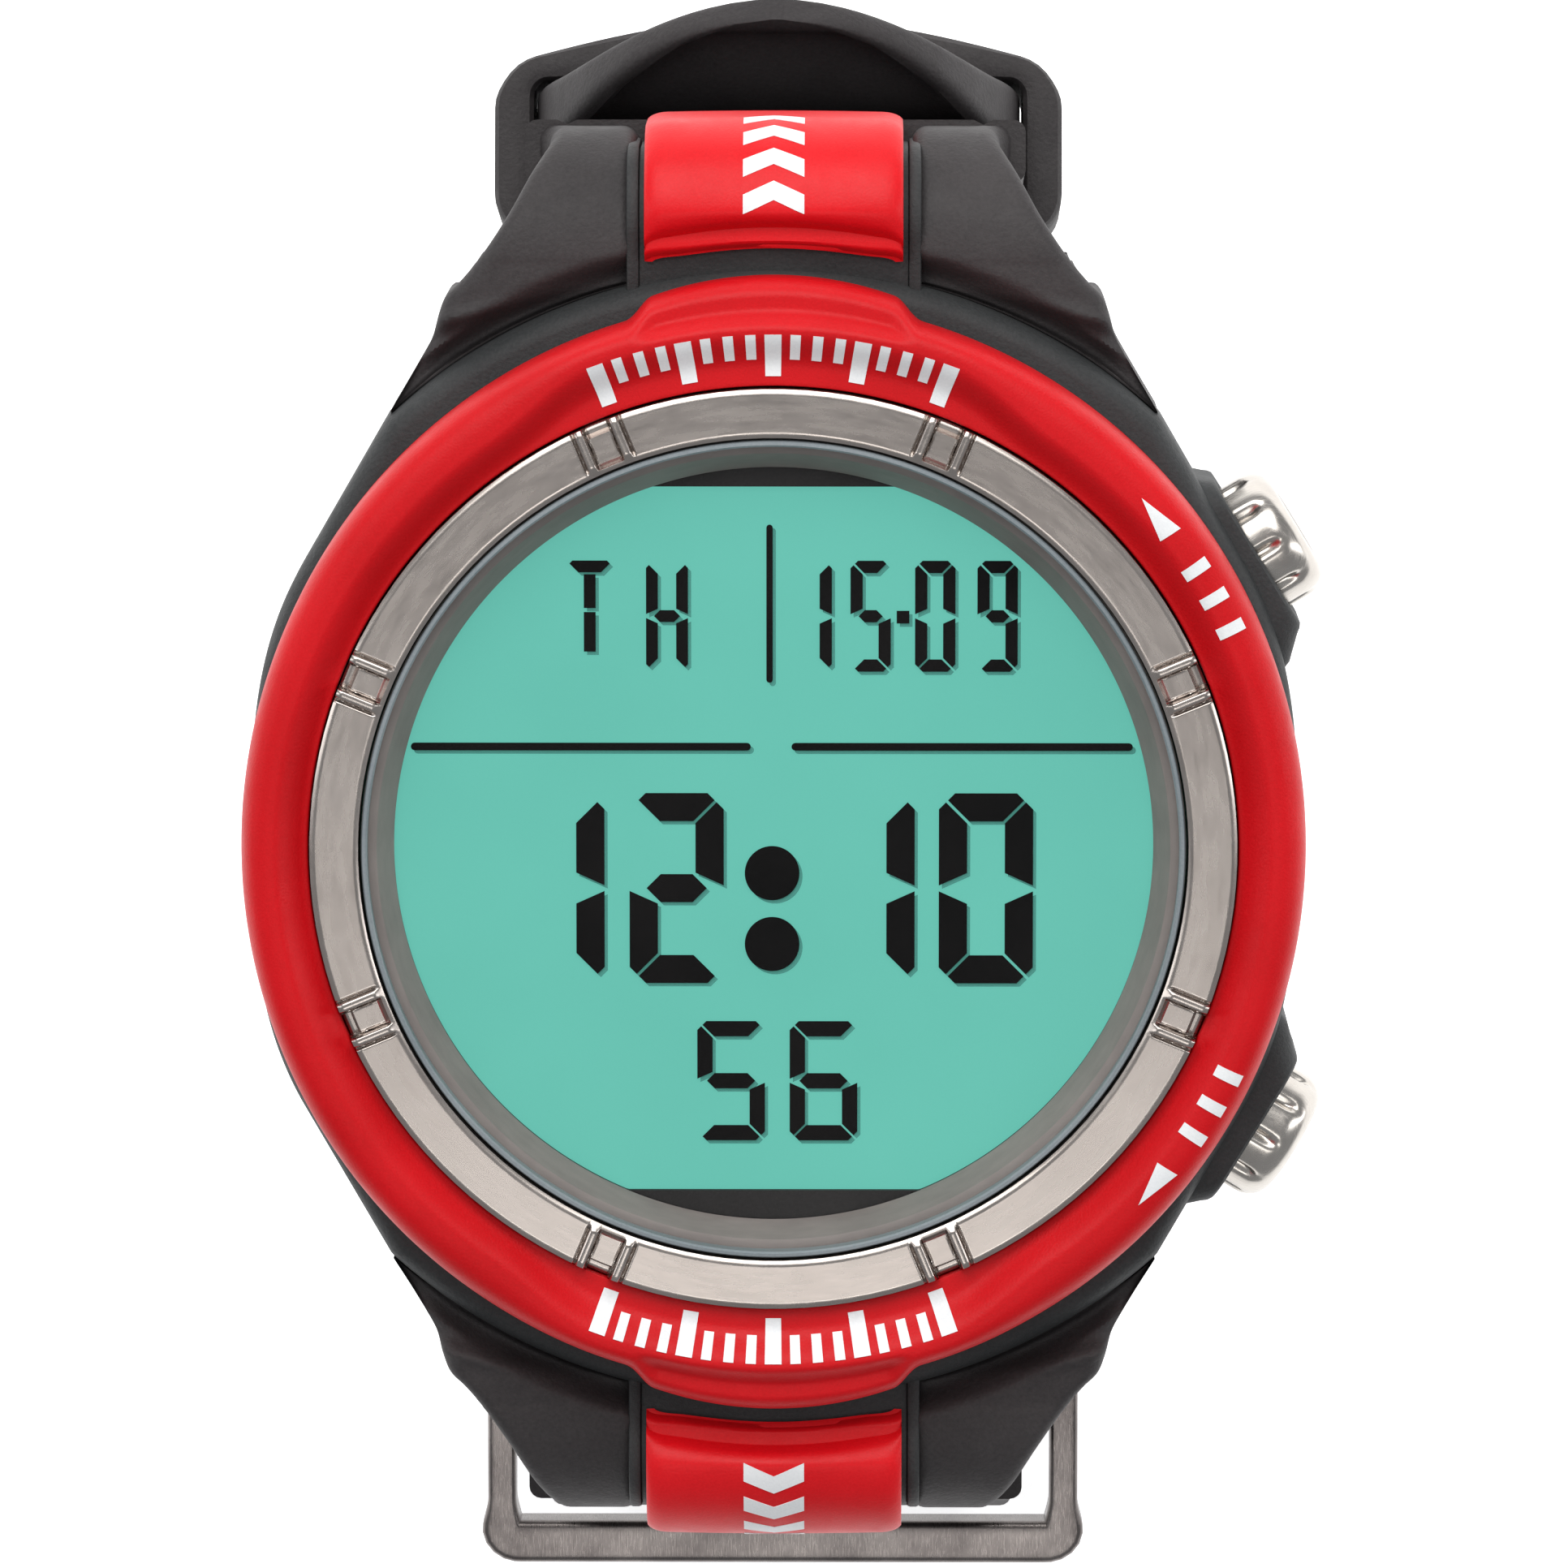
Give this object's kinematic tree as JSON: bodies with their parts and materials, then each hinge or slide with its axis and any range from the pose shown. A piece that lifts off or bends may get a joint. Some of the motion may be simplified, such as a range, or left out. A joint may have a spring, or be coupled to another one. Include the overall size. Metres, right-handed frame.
{
  "type": "wrist-worn dive computer",
  "caption": "Round digital dive computer with a red bezel, steel ring, side buttons and a buckled rubber wrist strap",
  "frame": {"origin": "centre of the case back's outer face, the flat face that lies on the wrist", "axes": "+Z out of the display, +Y to twelve o'clock, +X to the button side"},
  "size_m": [0.0479, 0.0796, 0.0581],
  "materials": {
    "case": "fine-grained dark charcoal polymer",
    "red": "soft satin red elastomer skin",
    "ring": "warm gunmetal, finely brushed round the ring",
    "gasket_grey": "blue-grey sealing ring",
    "reflector": "satin metallic chamfer",
    "glass": "clear mineral glass",
    "mask": "black printed mask",
    "lcd": "lit teal display",
    "backlight": "diffusing light guide",
    "board": "green solder mask",
    "chip": "moulded black epoxy",
    "brass": "plain",
    "steel": "fine brushed stainless steel",
    "polished": "polished stainless steel",
    "buckle": "satin stainless steel, slightly worn",
    "seal": "black sealing rubber",
    "strap": "matt near-black moulded strap rubber"
  },
  "bodies": {
    "watch": {"case_body": "case", "bezel_ring": "red", "lens_retaining_ring": "ring", "lens_gasket": "gasket_grey", "inner_reflector_ring": "reflector", "lens": "glass", "display_mask": "mask", "lcd_panel": "lcd", "backlight_panel": "backlight", "circuit_board": "board", "processor_chip": "chip", "memory_chip": "chip", "piezo_buzzer": "brass", "battery_tray": "mask", "battery": "steel", "battery_contact": "brass", "case_back": "steel", "case_back_gasket": "seal", "pressure_sensor": "steel", "upper_lug_insert": "red", "lower_lug_insert": "red", "upper_strap": "strap", "lower_strap": "strap", "case_back_screw_1": "steel", "case_back_screw_2": "steel", "case_back_screw_3": "steel", "case_back_screw_4": "steel", "upper_button_seal": "seal", "upper_button_spring": "steel", "upper_button_switch": "chip", "upper_spring_bar": "steel", "lower_button_seal": "seal", "lower_button_spring": "steel", "lower_button_switch": "chip", "lower_spring_bar": "steel"},
    "upper_button": {"upper_button_cap": "polished", "upper_button_stem": "steel", "upper_button_clip": "steel"},
    "lower_button": {"lower_button_cap": "polished", "lower_button_stem": "steel", "lower_button_clip": "steel"},
    "hatch": {"battery_hatch": "steel", "hatch_gasket": "seal"},
    "keeper": {"strap_keeper": "strap"},
    "frame": {"buckle_frame": "buckle", "buckle_pin": "buckle"},
    "prong": {"buckle_prong": "buckle"}
  },
  "joints": [
    {"name": "upper_button_press", "type": "slide", "parent": "watch", "child": "upper_button", "axis": [-0.8526, -0.5225, 0], "range_m": [0, 0.0008], "stiffness_N_per_m": 1200, "springref_m": -0.0008, "deforming": ["upper_button_spring"]},
    {"name": "lower_button_press", "type": "slide", "parent": "watch", "child": "lower_button", "axis": [-0.8526, 0.5225, 0], "range_m": [0, 0.0008], "stiffness_N_per_m": 1200, "springref_m": -0.0008, "deforming": ["lower_button_spring"]},
    {"name": "battery_hatch_turn", "type": "hinge", "parent": "watch", "child": "hatch", "pos_m": [0, 0, 0], "axis": [0, 0, 1], "range_deg": [0, 45]},
    {"name": "keeper_slide", "type": "slide", "parent": "watch", "child": "keeper", "axis": [0, 0.1908, 0.9816], "range_m": [-0.0015, 0.0015]},
    {"name": "buckle_frame_tilt", "type": "hinge", "parent": "watch", "child": "frame", "pos_m": [0, -0.028, -0.04], "axis": [1, 0, 0], "range_deg": [0, 8]},
    {"name": "prong_lift", "type": "hinge", "parent": "frame", "child": "prong", "pos_m": [0, -0.028, -0.04], "axis": [1, 0, 0], "range_deg": [0, 6]}
  ]
}
